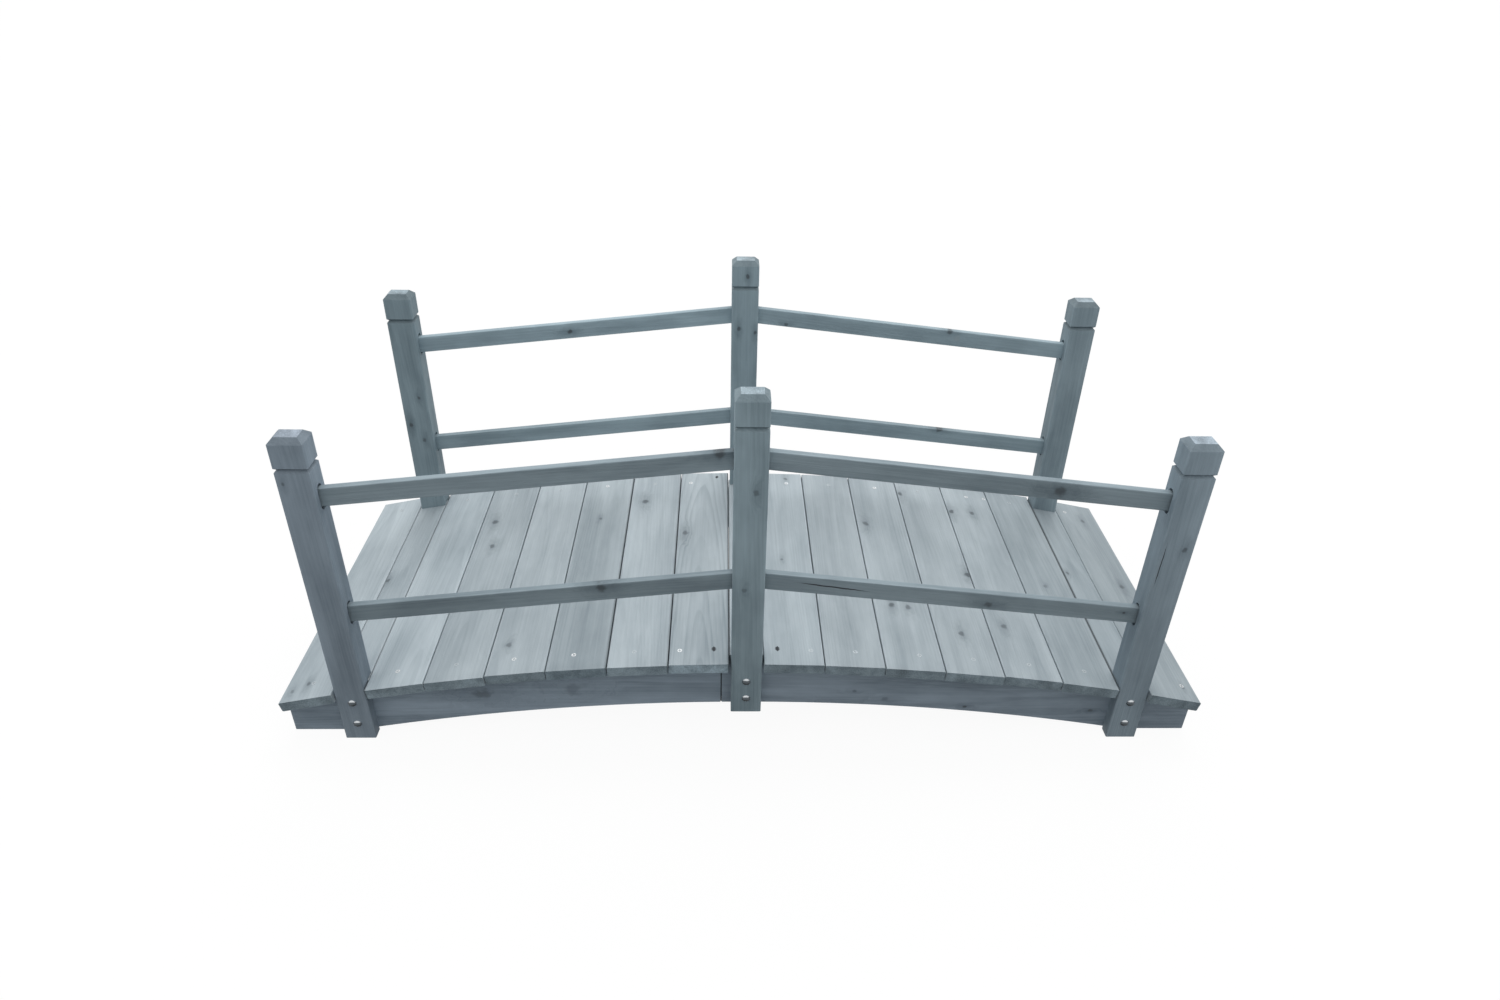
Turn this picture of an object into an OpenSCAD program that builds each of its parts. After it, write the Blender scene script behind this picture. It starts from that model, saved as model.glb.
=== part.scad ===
// Small arched garden bridge of stained softwood: a boarded deck on two arched
// stringers, with a railing of three posts and four rails along each side.
// X runs along the bridge, Y across it and Z up from the ground.

/* [Deck] */
// Length of the deck, from end to end
deck_len = 1524; // [1350:1:1700]
// Width of the deck, which is the length of its boards
deck_w = 600; // [450:1:800]
// Radius of the deck's arched upper surface
deck_r = 3500; // [2800:10:5000]
// Thickness of the boards
board_t = 18; // [12:0.5:24]
// Gap between neighbouring boards
board_gap = 1.8; // [0.8:0.1:3]
// Gap on each side of a filler board, at the boards' undersides
filler_gap = 0.3; // [0.2:0.05:1.5]
// The most that a board lies out of line with the others, endwise
board_slip = 1.5; // [0:0.1:3]
// Width of the board beyond each end post
end_board_w = 89.5; // [60:0.5:120]
// Radius on the long edges of the boards
board_ease = 2; // [0.5:0.25:4]

/* [Stringers] */
// Thickness of a stringer
stringer_t = 24; // [18:1:40]
// Depth of a stringer, square to its arch
stringer_h = 85.5; // [60:0.5:110]
// Height of the arch above the ground at the middle
arch_rise = 63; // [35:1:90]
// Distance from the deck's end back to the stringer's end
stringer_set = 2; // [1:0.5:25]
// Length of the half-lap splice at the middle
splice_len = 84; // [66:1:130]
// Open joint at each end of the splice
splice_gap = 2; // [0.5:0.1:4]

/* [Posts] */
// Width of a post, along the bridge
post_w = 50; // [40:1:64]
// Depth of a post, across the bridge
post_d = 40; // [32:1:60]
// Thickness of the tongue that is left below the post's shoulder
tongue_t = 20; // [15:0.5:28]
// Distance from the deck's edge in to the posts' outer faces
post_set = 5; // [0:0.5:15]
// Length of an end post, from the ground up
end_post_len = 570; // [450:1:700]
// Height that the railing gains from an end post to the middle post
railing_rise = 72; // [40:1:100]
// Distance that the middle posts' tongues reach below the arch
foot_drop = 3; // [0:0.5:10]
// Chamfer round the top of a post
cap_chamfer = 8.5; // [4:0.5:14]
// Distance from the post's top down to the groove round it
groove_drop = 50; // [30:1:70]
// Width of the groove on the face
groove_w = 8; // [4:0.5:14]
// Depth of the groove
groove_t = 4.5; // [2:0.5:7]
// Radius on the upright edges of a post
post_ease = 2; // [0.5:0.25:4]

/* [Rails] */
// Height of a rail
rail_h = 30.5; // [22:0.5:40]
// Thickness of a rail
rail_t = 12; // [9:0.5:18]
// Upper edge of the upper rail below an end post's top, at the post's axis
upper_drop = 90.5; // [75:0.5:120]
// Upper edge of the lower rail below an end post's top, at the post's axis
lower_drop = 304.5; // [240:0.5:340]
// Depth of the mortises, along the rail
mortise_depth = 18; // [12:0.5:19]
// Room in a mortise before and behind the rail, taken together
mortise_play = 4; // [1:0.5:6]
// Room in a mortise above the rail, and as much below it
mortise_room = 5.75; // [3.5:0.25:8]
// Radius on the long edges of a rail
rail_ease = 1.5; // [0.5:0.25:3]

/* [Fits] */
// Clearance between a rail and the inner wall of its mortise
rail_clear = 0.3; // [0.1:0.05:0.8]
// Clearance between a rail's end and the mortise's bottom
rail_end_clear = 1; // [0.5:0.1:3]
// Clearance on each side of a post between the boards
post_clear = 1.2; // [0.4:0.1:3]
// Clearance between a flat board and the arch that it is laid on
seat_clear = 0.1; // [0.05:0.05:0.3]

/* [Hidden] */
boards_per_bay = 6;
arc_fn = 720;
round_fn = 48;
over = 200;
stain = [0.47, 0.53, 0.56];
deck_stain = [0.66, 0.72, 0.75];

// The arch: all arcs share one centre below the ground
crown_z = arch_rise + stringer_h + seat_clear + board_t;
arc_z = crown_z - deck_r;
seat_r = deck_r - board_t - seat_clear;
under_r = seat_r - stringer_h;
arc_unit = deck_r * PI / 180;
half_arc = asin(deck_len / 2 / deck_r) * arc_unit;

// Places of the boards, measured along the arch from the middle
end_tilt = (half_arc - end_board_w - post_w / 2) / arc_unit;
slot_w = (post_w + 2 * post_clear + board_t * sin(end_tilt)) / cos(end_tilt);
end_slot_s = half_arc - end_board_w - slot_w / 2;
bay_arc = end_slot_s - slot_w;
board_pitch = (bay_arc + board_gap) / boards_per_bay;
board_w = board_pitch - board_gap;
filler_lean = board_t * sin((slot_w + max(board_pitch, end_board_w)) / 2 / arc_unit);
filler_w = slot_w - 2 * (filler_gap + filler_lean);
post_tilt = end_slot_s / arc_unit;
post_x = (deck_r - board_t / 2) * sin(post_tilt);

// How far each equal board lies out of line towards the rear, as a share of board_slip
slip_shares = [-0.9, -1, 0.5, 0.3, 0.2, 1, 0.9, 0.4, -0.2, -0.6, 0.7, -0.3];

// Planes across the bridge, as distances from its middle line
post_face = deck_w / 2 - post_set;
stringer_face = post_face - tongue_t;
post_mid = post_face - post_d / 2;
lap_face = stringer_face - stringer_t / 2;
stringer_end = deck_len / 2 - stringer_set;

// The railing
middle_post_z = arch_rise - foot_drop;
middle_post_len = end_post_len + railing_rise - middle_post_z;
rail_slope = atan(railing_rise / post_x);
rail_reach = mortise_depth - rail_end_clear;
rail_len = (post_x - post_w) / cos(rail_slope) + 2 * rail_reach;
mortise_h = rail_h + 2 * mortise_room;
mortise_r = (rail_t + mortise_play) / 2;
corner_in = max(0, mortise_r - mortise_room);
rail_shift = sqrt(mortise_r * mortise_r - corner_in * corner_in) - rail_t / 2 - rail_clear;

// Children laid on the arch at the distance s from the middle, with their top at z = 0
module on_arch(s) {
  translate([0, 0, arc_z])
    rotate([0, s / arc_unit, 0])
      translate([0, 0, deck_r])
        children();
}

// Cross-section of a planed bar, centred, with its four corners eased by a radius
module eased_section(width, height, radius) {
  union() {
    square([width - 2 * radius, height], center = true);
    square([width, height - 2 * radius], center = true);
    for (x = [-1, 1], y = [-1, 1])
      translate([x * (width / 2 - radius), y * (height / 2 - radius)])
        circle(r = radius, $fn = round_fn);
  }
}

// One board of the given width and length, its top touching the arch at its middle, shifted endwise by slip
module board(s, width, length, slip = 0) {
  color(deck_stain)
    on_arch(s)
      translate([0, length / 2 + slip, -board_t / 2])
        rotate([90, 0, 0])
          linear_extrude(length)
            eased_section(width, board_t, board_ease);
}

// One of the equal boards: number 1 is the outermost on the left, 12 on the right
module deck_board(number) {
  side = number <= boards_per_bay ? -1 : 1;
  place = side < 0 ? boards_per_bay + 1 - number : number - boards_per_bay;
  s = side * (slot_w / 2 + (place - 0.5) * board_pitch - board_gap / 2);
  board(s, board_w, deck_w, board_slip * slip_shares[number - 1]);
}

// Board between a pair of posts: it ends at their tongues, under their shoulders
module filler_board(s) {
  board(s, filler_w, 2 * stringer_face);
}

// Board that closes an end of the deck, on the side -1 or 1
module end_board(side) {
  board(side * (half_arc - end_board_w / 2), end_board_w, deck_w);
}

// Stretch of the arch from x0 to x1, between the planes y0 and y1, cut level at the ground
module arch_piece(x0, x1, y0, y1) {
  intersection() {
    translate([0, y1, arc_z])
      rotate([90, 0, 0])
        difference() {
          cylinder(r = seat_r, h = y1 - y0, $fn = arc_fn);
          translate([0, 0, -1])
            cylinder(r = under_r, h = y1 - y0 + 2, $fn = arc_fn);
        }
    translate([x0, y0 - 1, 0])
      cube([x1 - x0, y1 - y0 + 2, crown_z]);
  }
}

// Half of a stringer on the right, at the front: its half of the splice lies outside
module outer_lap_half() {
  color(stain)
    union() {
      arch_piece(splice_len / 2, stringer_end, -stringer_face, -stringer_face + stringer_t);
      arch_piece(-splice_len / 2 + splice_gap, splice_len / 2, -stringer_face, -lap_face);
    }
}

// Half of a stringer on the left, at the front: its half of the splice lies inside
module inner_lap_half() {
  color(stain)
    union() {
      arch_piece(-stringer_end, -splice_len / 2, -stringer_face, -stringer_face + stringer_t);
      arch_piece(-splice_len / 2, splice_len / 2 - splice_gap, -lap_face, -stringer_face + stringer_t);
    }
}

// Outline of a post of the given width and length, with its chamfered top and groove
module post_outline(width, length) {
  half = width / 2;
  groove_z = length - groove_drop;
  difference() {
    polygon([
      [-half, 0],
      [half, 0],
      [half, length - cap_chamfer],
      [half - cap_chamfer, length],
      [-half + cap_chamfer, length],
      [-half, length - cap_chamfer]
    ]);
    for (side = [-1, 1])
      polygon([
        [side * half, groove_z - groove_w / 2],
        [side * (half - groove_t), groove_z],
        [side * half, groove_z + groove_w / 2]
      ]);
  }
}

// Rectangular post with a chamfered top and a groove round it, standing at the origin
module post_stick(length) {
  intersection() {
    translate([0, post_d / 2, 0])
      rotate([90, 0, 0])
        linear_extrude(post_d)
          post_outline(post_w, length);
    translate([-post_w / 2, 0, 0])
      rotate([90, 0, 90])
        linear_extrude(post_w)
          post_outline(post_d, length);
    linear_extrude(length)
      eased_section(post_w, post_d, post_ease);
  }
}

// Slot with round ends from the origin along +X, a mortise's depth and some way past its mouth
module mortise() {
  rotate([90, 0, 90])
    linear_extrude(mortise_depth + over)
      union() {
        square([2 * mortise_r, mortise_h - 2 * mortise_r], center = true);
        for (end = [-1, 1])
          translate([0, end * (mortise_h / 2 - mortise_r)])
            circle(r = mortise_r, $fn = round_fn);
      }
}

// Places children on the mortises' axis for a rail of the front right bay, at the middle post's face
module on_rail(drop) {
  rail_z = end_post_len + railing_rise - drop - rail_h / 2 / cos(rail_slope);
  translate([0, -post_mid, rail_z])
    rotate([0, rail_slope, 0])
      translate([post_w / 2 / cos(rail_slope), 0, 0])
        children();
}

// A rail of the front right bay, lying against the inner walls of its mortises
module rail(drop) {
  color(stain)
    on_rail(drop)
      translate([-rail_reach, rail_shift, 0])
        rotate([90, 0, 90])
          linear_extrude(rail_len)
            eased_section(rail_t, rail_h, rail_ease);
}

// Mortises for the inner ends of both rails of the front right bay
module inner_mortises() {
  for (drop = [upper_drop, lower_drop])
    on_rail(drop)
      translate([-mortise_depth, 0, 0])
        mortise();
}

// Mortises for the outer ends of both rails of the front right bay
module outer_mortises() {
  for (drop = [upper_drop, lower_drop])
    on_rail(drop)
      translate([rail_len - rail_reach + rail_end_clear - mortise_depth - over, 0, 0])
        mortise();
}

// Space below a post's shoulder, on the inner side of its tongue, at the front
module shoulder_cut(s) {
  on_arch(s)
    translate([-over / 2, -stringer_face, -over])
      cube([over, over, over + seat_clear]);
}

// End post of the front right corner
module end_post() {
  color(stain)
    difference() {
      translate([post_x, -post_mid, 0])
        post_stick(end_post_len);
      shoulder_cut(end_slot_s);
      outer_mortises();
    }
}

// Middle post of the front, its foot just below the arch
module middle_post() {
  color(stain)
    difference() {
      translate([0, -post_mid, middle_post_z])
        post_stick(middle_post_len);
      shoulder_cut(0);
      inner_mortises();
      mirror([1, 0, 0])
        inner_mortises();
    }
}

module front_right_stringer() { outer_lap_half(); }
module front_left_stringer() { inner_lap_half(); }
module rear_left_stringer() { rotate([0, 0, 180]) outer_lap_half(); }
module rear_right_stringer() { rotate([0, 0, 180]) inner_lap_half(); }

module front_right_post() { end_post(); }
module front_left_post() { mirror([1, 0, 0]) end_post(); }
module rear_right_post() { mirror([0, 1, 0]) end_post(); }
module rear_left_post() { rotate([0, 0, 180]) end_post(); }
module front_middle_post() { middle_post(); }
module rear_middle_post() { rotate([0, 0, 180]) middle_post(); }

module front_right_upper_rail() { rail(upper_drop); }
module front_right_lower_rail() { rail(lower_drop); }
module front_left_upper_rail() { mirror([1, 0, 0]) rail(upper_drop); }
module front_left_lower_rail() { mirror([1, 0, 0]) rail(lower_drop); }
module rear_right_upper_rail() { mirror([0, 1, 0]) rail(upper_drop); }
module rear_right_lower_rail() { mirror([0, 1, 0]) rail(lower_drop); }
module rear_left_upper_rail() { rotate([0, 0, 180]) rail(upper_drop); }
module rear_left_lower_rail() { rotate([0, 0, 180]) rail(lower_drop); }

module left_end_board() { end_board(-1); }
module left_filler_board() { filler_board(-end_slot_s); }
module middle_filler_board() { filler_board(0); }
module right_filler_board() { filler_board(end_slot_s); }
module right_end_board() { end_board(1); }

front_left_stringer();
front_right_stringer();
rear_left_stringer();
rear_right_stringer();
front_left_post();
front_middle_post();
front_right_post();
rear_left_post();
rear_middle_post();
rear_right_post();
front_left_upper_rail();
front_left_lower_rail();
front_right_upper_rail();
front_right_lower_rail();
rear_left_upper_rail();
rear_left_lower_rail();
rear_right_upper_rail();
rear_right_lower_rail();
left_end_board();
left_filler_board();
deck_board(1);  // deck_board_1
deck_board(2);  // deck_board_2
deck_board(3);  // deck_board_3
deck_board(4);  // deck_board_4
deck_board(5);  // deck_board_5
deck_board(6);  // deck_board_6
middle_filler_board();
deck_board(7);  // deck_board_7
deck_board(8);  // deck_board_8
deck_board(9);  // deck_board_9
deck_board(10);  // deck_board_10
deck_board(11);  // deck_board_11
deck_board(12);  // deck_board_12
right_filler_board();
right_end_board();
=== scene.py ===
import math

import bmesh
import bpy
from mathutils import Matrix, Vector


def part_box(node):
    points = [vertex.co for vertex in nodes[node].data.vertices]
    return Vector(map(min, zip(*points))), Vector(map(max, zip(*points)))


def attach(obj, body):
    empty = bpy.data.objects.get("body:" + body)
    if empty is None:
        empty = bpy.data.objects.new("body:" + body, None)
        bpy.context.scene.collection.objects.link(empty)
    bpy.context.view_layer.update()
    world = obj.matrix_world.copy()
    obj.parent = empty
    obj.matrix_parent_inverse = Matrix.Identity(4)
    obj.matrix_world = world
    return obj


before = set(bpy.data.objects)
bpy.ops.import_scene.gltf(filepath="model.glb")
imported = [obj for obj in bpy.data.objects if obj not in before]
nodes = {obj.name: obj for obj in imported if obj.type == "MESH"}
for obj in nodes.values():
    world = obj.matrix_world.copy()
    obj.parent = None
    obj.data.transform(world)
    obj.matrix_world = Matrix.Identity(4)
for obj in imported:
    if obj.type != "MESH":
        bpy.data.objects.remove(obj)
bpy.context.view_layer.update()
scene = bpy.context.scene
scene.view_settings.view_transform = "Standard"
mm = 0.001
print("frame loaded:", len(nodes), "pieces")


# camera at the photo's standpoint
viewpoint = {
    "place": (-0.0424, -1.4937, 1.2362),  # metres
    "heading": 1.972,                     # degrees towards +X
    "lookDown": 32.326,
    "roll": 1.375,
    "focal": 23.647,                      # mm
    "sensor": 36,                         # mm wide
}


def placeCamera():
    lens = bpy.data.cameras.new("photoLens")
    lens.sensor_fit = "HORIZONTAL"
    lens.sensor_width = viewpoint["sensor"]
    lens.lens = viewpoint["focal"]
    camera = bpy.data.objects.new("photoCamera", lens)
    heading = Matrix.Rotation(-math.radians(viewpoint["heading"]), 4, "Z")
    lookDown = Matrix.Rotation(math.radians(90 - viewpoint["lookDown"]), 4, "X")
    roll = Matrix.Rotation(math.radians(viewpoint["roll"]), 4, "Z")
    camera.matrix_world = Matrix.Translation(viewpoint["place"]) @ heading @ lookDown @ roll
    scene.collection.objects.link(camera)
    scene.camera = camera


placeCamera()
print("camera placed")


# small helpers for node trees
def feed(tree, socket, term):
    if isinstance(term, bpy.types.NodeSocket):
        tree.links.new(term, socket)
    else:
        socket.default_value = term


def calc(tree, operation, *terms):
    node = tree.nodes.new("ShaderNodeMath")
    node.operation = operation
    for socket, term in zip(node.inputs, terms):
        feed(tree, socket, term)
    return node.outputs[0]


def vectorCalc(tree, operation, *terms):
    node = tree.nodes.new("ShaderNodeVectorMath")
    node.operation = operation
    for socket, term in zip(node.inputs, terms):
        feed(tree, socket, term)
    return node.outputs["Value"] if operation in ("LENGTH", "DOT_PRODUCT") else node.outputs["Vector"]


def scaleVector(tree, vector, factor):
    scaled = vectorCalc(tree, "SCALE", vector)
    feed(tree, scaled.node.inputs["Scale"], factor)
    return scaled


def remap(tree, value, low, high, toLow=0.0, toHigh=1.0):
    node = tree.nodes.new("ShaderNodeMapRange")
    node.interpolation_type = "SMOOTHSTEP"
    for label, term in (("Value", value), ("From Min", low), ("From Max", high),
                        ("To Min", toLow), ("To Max", toHigh)):
        feed(tree, node.inputs[label], term)
    return node.outputs["Result"]


def noise(tree, vector, stretch, detail=2.0, roughness=0.5, colour=False):
    node = tree.nodes.new("ShaderNodeTexNoise")
    node.inputs["Scale"].default_value = 1.0
    node.inputs["Detail"].default_value = detail
    node.inputs["Roughness"].default_value = roughness
    tree.links.new(vectorCalc(tree, "MULTIPLY", vector, stretch), node.inputs["Vector"])
    return node.outputs["Color" if colour else "Fac"]


def centredNoise(tree, vector, stretch):
    return vectorCalc(tree, "SUBTRACT", noise(tree, vector, stretch, colour=True), (0.5, 0.5, 0.5))


def blendColour(tree, factor, first, second, mode="MIX"):
    node = tree.nodes.new("ShaderNodeMix")
    node.data_type = "RGBA"
    node.blend_type = mode
    feed(tree, node.inputs[0], factor)
    feed(tree, node.inputs[6], first)
    feed(tree, node.inputs[7], second)
    return node.outputs[2]


def splitVector(tree, vector):
    node = tree.nodes.new("ShaderNodeSeparateXYZ")
    tree.links.new(vector, node.inputs[0])
    return node.outputs[0], node.outputs[1], node.outputs[2]


def newGroup(name, inputs, outputs):
    group = bpy.data.node_groups.new(name, "ShaderNodeTree")
    for label, kind, value in inputs:
        socket = group.interface.new_socket(label, in_out="INPUT", socket_type="NodeSocket" + kind)
        socket.default_value = value
    for label, kind in outputs:
        group.interface.new_socket(label, in_out="OUTPUT", socket_type="NodeSocket" + kind)
    entry = group.nodes.new("NodeGroupInput")
    leave = group.nodes.new("NodeGroupOutput")
    return group, entry.outputs, leave.inputs


def placeGroup(tree, group, **terms):
    node = tree.nodes.new("ShaderNodeGroup")
    node.node_tree = group
    for label, term in terms.items():
        feed(tree, node.inputs[label], term)
    return node.outputs


def newMaterial(name):
    material = bpy.data.materials.new(name)
    material.use_nodes = True
    tree = material.node_tree
    return material, tree, tree.nodes["Principled BSDF"], tree.nodes.new("ShaderNodeTexCoord")


def addRelief(tree, shader, height, strength, depth):
    relief = tree.nodes.new("ShaderNodeBump")
    relief.inputs["Strength"].default_value = strength
    relief.inputs["Distance"].default_value = depth * mm
    tree.links.new(height, relief.inputs["Height"])
    tree.links.new(relief.outputs["Normal"], shader.inputs["Normal"])


# year rings, streaks and fibres of a sawn piece; its Vector runs along, across and through the piece
grainForm = {
    "seedShift": (7.31, 3.17, 5.73),     # each seed reads another part of the noise
    "wander": (1.5, 5.0, 5.0),           # noise, in waves a metre along, across and through
    "sway": (4, 7, 7),
    "stray": (0, 0.03, 0.03),            # metres that rings and streaks leave a straight line
    "ripple": ((7, 70, 70), 3),          # waves a metre, detail and roughness
    "broad": ((1.6, 24, 24), 3),
    "narrow": ((3.5, 70, 70), 2),
    "fibres": ((6, 430, 430), 4, 0.6),
    "blotch": ((5, 11, 11), 4, 0.6),
    "rippleGain": 0.5,                   # ring widths
    "lateWood": (0.25, 0.9, 1.0),        # where in a ring the dark wood starts, peaks and stops
    "ringStrength": (0.3, 1.0),
    "narrowGain": 0.4,
    "streakRange": (0.45, 0.95),
    "cloudRange": (0.3, 0.7),
}


def buildGrainGroup():
    form = grainForm
    group, given, out = newGroup(
        "sawnGrain",
        [("Vector", "Vector", (0, 0, 0)), ("Pith", "Vector", (0, 0, 0.05)), ("Seed", "Float", 0.0),
         ("RingWidth", "Float", 0.004), ("Taper", "Float", 0.02), ("Push", "Float", 0.0)],
        [("Rings", "Float"), ("Streaks", "Float"), ("Fibres", "Float"), ("Blotch", "Float")])
    shift = scaleVector(group, form["seedShift"], given["Seed"])
    place = vectorCalc(group, "ADD", given["Vector"], shift)
    wander = vectorCalc(group, "MULTIPLY", centredNoise(group, place, form["wander"]), form["stray"])
    fromPith = vectorCalc(group, "ADD", vectorCalc(group, "ADD", given["Vector"], given["Pith"]), wander)
    radial = vectorCalc(group, "LENGTH", vectorCalc(group, "MULTIPLY", fromPith, (0, 1, 1)))
    along = splitVector(group, given["Vector"])[0]
    radial = calc(group, "ADD", radial, calc(group, "MULTIPLY", along, given["Taper"]))
    radial = calc(group, "ADD", radial, given["Push"])
    ring = calc(group, "DIVIDE", radial, given["RingWidth"])
    ring = calc(group, "MULTIPLY_ADD", noise(group, place, *form["ripple"]), form["rippleGain"], ring)
    phase = calc(group, "FRACT", ring)
    starts, peaks, stops = form["lateWood"]
    rising = remap(group, phase, starts, peaks)
    late = calc(group, "MULTIPLY", rising, remap(group, phase, peaks, stops, 1.0, 0.0))
    vary = group.nodes.new("ShaderNodeTexWhiteNoise")
    vary.noise_dimensions = "1D"
    feed(group, vary.inputs["W"], calc(group, "ADD", calc(group, "FLOOR", ring), given["Seed"]))
    strength = remap(group, vary.outputs["Value"], 0.0, 1.0, *form["ringStrength"])
    feed(group, out["Rings"], calc(group, "MULTIPLY", late, strength))
    sway = vectorCalc(group, "MULTIPLY", centredNoise(group, place, form["sway"]), form["stray"])
    swayed = vectorCalc(group, "ADD", place, sway)
    broad = noise(group, swayed, *form["broad"])
    narrow = noise(group, swayed, *form["narrow"])
    streaks = calc(group, "MULTIPLY_ADD", narrow, form["narrowGain"], broad)
    feed(group, out["Streaks"], remap(group, streaks, *form["streakRange"]))
    for label in ("Fibres", "Blotch"):
        cloud = noise(group, place, *form[label.lower()])
        feed(group, out[label], remap(group, cloud, *form["cloudRange"]))
    return group


# a knot: a dark core, a soft halo drawn out along the grain, and the push that bends the rings round it
knotForm = {
    "shake": (90, 90, 90),        # noise, in waves a metre
    "coreRag": (1.4, 1.4, 0),     # the rest is in knot radii
    "coreShape": (0.8, 1, 0),
    "coreEdge": (0.4, 1.15),
    "haloRag": (5.0, 1.6, 0),
    "haloShape": (0.13, 0.36, 0),
    "push": 1.6,
    "pushReach": 1.1,
}


def raggedRange(group, inRadii, shaken, rag, shape):
    ragged = vectorCalc(group, "ADD", inRadii, vectorCalc(group, "MULTIPLY", shaken, rag))
    return vectorCalc(group, "LENGTH", vectorCalc(group, "MULTIPLY", ragged, shape))


def buildKnotGroup():
    form = knotForm
    group, given, out = newGroup(
        "knot",
        [("Vector", "Vector", (0, 0, 0)), ("Spot", "Vector", (0, 0, 0)), ("Radius", "Float", 0.007),
         ("Depth", "Float", 1.0), ("Core", "Float", 0.0), ("Halo", "Float", 0.0), ("Push", "Float", 0.0)],
        [("Core", "Float"), ("Halo", "Float"), ("Push", "Float")])
    away = vectorCalc(group, "SUBTRACT", given["Vector"], given["Spot"])
    inRadii = scaleVector(group, away, calc(group, "DIVIDE", 1.0, given["Radius"]))
    shaken = centredNoise(group, given["Vector"], form["shake"])
    coreRange = raggedRange(group, inRadii, shaken, form["coreRag"], form["coreShape"])
    core = calc(group, "MULTIPLY", remap(group, coreRange, *form["coreEdge"], 1.0, 0.0), given["Depth"])
    haloRange = raggedRange(group, inRadii, shaken, form["haloRag"], form["haloShape"])
    halo = calc(group, "MULTIPLY", remap(group, haloRange, 0.0, 1.0, 1.0, 0.0), given["Depth"])
    bend = remap(group, haloRange, 0.0, form["pushReach"], form["push"], 0.0)
    push = calc(group, "MULTIPLY", bend, given["Radius"])
    feed(group, out["Core"], calc(group, "MAXIMUM", core, given["Core"]))
    feed(group, out["Halo"], calc(group, "MAXIMUM", halo, given["Halo"]))
    feed(group, out["Push"], calc(group, "ADD", push, given["Push"]))
    return group


# a drying crack along the grain, widest at its middle; its near-black colour is painted shade in the gap
crackForm = {
    "wobble": (60, 0, 0),   # noise, in waves a metre
    "stray": 2.0,           # mm
    "narrowsFrom": 0.3,     # share of the half length
    "tip": 0.02,            # share of the width
    "softFrom": 0.3,        # share of the opening
}


def buildCrackGroup():
    form = crackForm
    group, given, out = newGroup(
        "dryingCrack",
        [("Vector", "Vector", (0, 0, 0)), ("Spot", "Vector", (0, 0, 0)), ("Half", "Float", 0.04),
         ("Width", "Float", 0.001), ("Lean", "Float", 0.0), ("Split", "Float", 0.0)],
        [("Split", "Float")])
    away = vectorCalc(group, "SUBTRACT", given["Vector"], given["Spot"])
    along, across = splitVector(group, away)[:2]
    wobble = calc(group, "SUBTRACT", noise(group, given["Vector"], form["wobble"]), 0.5)
    stray = calc(group, "MULTIPLY", wobble, form["stray"] * mm)
    middle = calc(group, "MULTIPLY_ADD", along, given["Lean"], stray)
    offLine = calc(group, "ABSOLUTE", calc(group, "SUBTRACT", across, middle))
    run = calc(group, "ABSOLUTE", calc(group, "DIVIDE", along, given["Half"]))
    narrowing = remap(group, run, form["narrowsFrom"], 1.0, 1.0, form["tip"])
    opening = calc(group, "MULTIPLY", given["Width"], narrowing)
    split = remap(group, calc(group, "DIVIDE", offLine, opening), form["softFrom"], 1.0, 1.0, 0.0)
    split = calc(group, "MULTIPLY", split, calc(group, "LESS_THAN", run, 1.0))
    feed(group, out["Split"], calc(group, "MAXIMUM", split, given["Split"]))
    return group


# worn arrises: 1 at the long edges of a bar, broken up by noise
wearForm = {
    "ragged": ((25, 160, 160), 3, 0.6),  # waves a metre, detail and roughness
    "raggedRange": (0.35, 0.7),
    "reachRange": (0.2, 1.4),            # shares of Reach
}


def buildWearGroup():
    form = wearForm
    group, given, out = newGroup(
        "wornArris",
        [("Vector", "Vector", (0, 0, 0)), ("Half", "Vector", (0.3, 0.05, 0.01)), ("Reach", "Float", 0.004)],
        [("Wear", "Float")])
    fromMiddle = vectorCalc(group, "ABSOLUTE", given["Vector"])
    toSide, toFace = splitVector(group, vectorCalc(group, "SUBTRACT", given["Half"], fromMiddle))[1:]
    nearest = calc(group, "MAXIMUM", toSide, toFace)
    ragged = noise(group, given["Vector"], *form["ragged"])
    share = remap(group, ragged, *form["raggedRange"], *form["reachRange"])
    reach = calc(group, "MULTIPLY", given["Reach"], share)
    feed(group, out["Wear"], remap(group, calc(group, "DIVIDE", nearest, reach), 0.0, 1.0, 1.0, 0.0))
    return group


# shade of cut ends, and of chamfers, where end grain cut at a slant drinks the most stain; the chamfers'
# darkening is partly painted shade as well
endForm = {
    "streakShare": 0.6,
    "fibreShare": 0.4,
    "patches": (0.66, 0.68),   # least shade, and what patches add
    "slant": (0.3, 0.55),      # how far a face turns along the grain
    "square": (0.85, 0.97),
}


def buildEndGroup():
    form = endForm
    group, given, out = newGroup(
        "endGrain",
        [("Facing", "Float", 0.0), ("Streaks", "Float", 0.5), ("Fibres", "Float", 0.5),
         ("Ends", "Color", (1, 1, 1, 1)), ("Chamfer", "Float", 1.0)],
        [("Shade", "Color")])
    fibres = calc(group, "MULTIPLY", given["Fibres"], form["fibreShare"])
    patchy = calc(group, "MULTIPLY_ADD", given["Streaks"], form["streakShare"], fibres)
    least, more = form["patches"]
    patches = calc(group, "MULTIPLY_ADD", patchy, more, least)
    endShade = blendColour(group, 1.0, given["Ends"], patches, "MULTIPLY")
    slantOnly = remap(group, given["Facing"], *form["square"], 1.0, 0.0)
    slant = calc(group, "MULTIPLY", remap(group, given["Facing"], *form["slant"]), slantOnly)
    # the chamfer factor darkens slanted faces: partly end grain, partly painted shade
    slantShade = calc(group, "MULTIPLY_ADD", slant, calc(group, "SUBTRACT", given["Chamfer"], 1.0), 1.0)
    square = remap(group, given["Facing"], *form["square"])
    feed(group, out["Shade"], blendColour(group, square, slantShade, endShade))
    return group
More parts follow.
